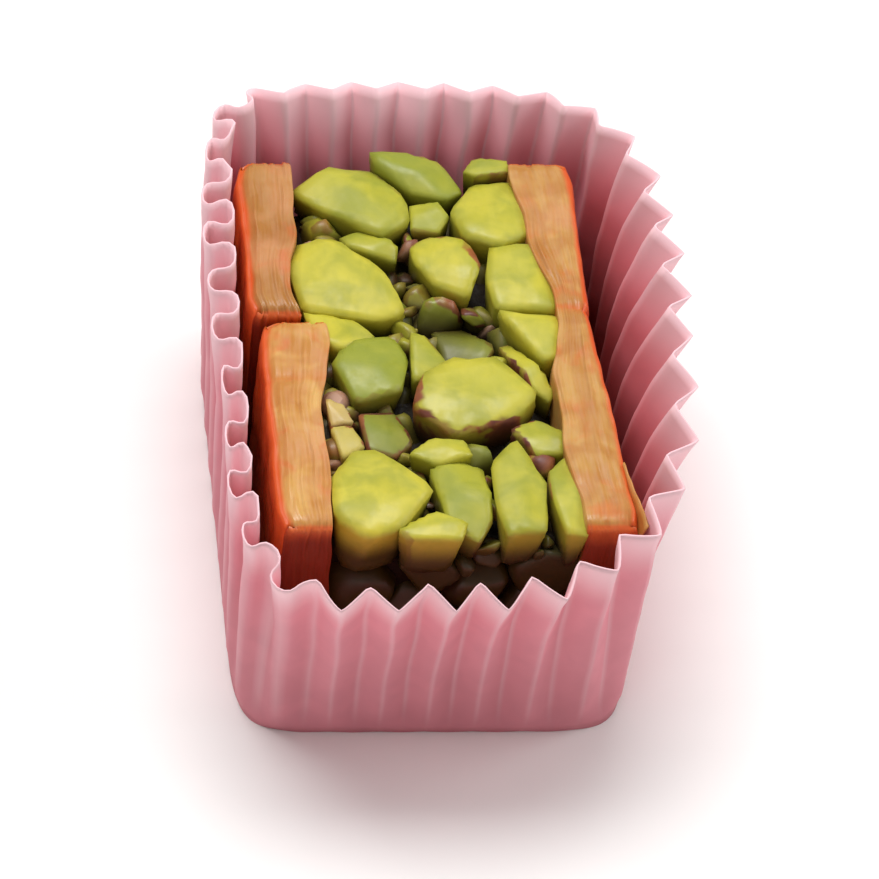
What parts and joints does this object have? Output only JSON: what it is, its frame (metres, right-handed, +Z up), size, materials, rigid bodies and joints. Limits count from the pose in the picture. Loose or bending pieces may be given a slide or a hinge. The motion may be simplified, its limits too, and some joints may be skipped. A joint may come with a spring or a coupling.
{
  "type": "baklava piece",
  "caption": "Bar of pistachio baklava on its side in a fluted paper case: chopped nuts between two crusts of baked phyllo, with the top crust scored right through.",
  "frame": {"origin": "centre of the bounding box at the surface that the paper case stands on", "axes": "+Z up, +Y along the bar towards its back end, +X across the bar from the top crust on the left to the bottom crust on the right"},
  "size_m": [0.0443, 0.0676, 0.0267],
  "materials": {
    "case_paper": "matt, thin, dyed pink, crimped",
    "pistachio": "chopped nuts, glossy with syrup",
    "phyllo": "baked leaves of pastry soaked in syrup"
  },
  "bodies": {
    "root": {"paper_case": "case_paper", "pistachio_filling": "pistachio", "left_crust_back": "phyllo", "left_crust_front": "phyllo", "right_crust": "phyllo"}
  },
  "joints": []
}
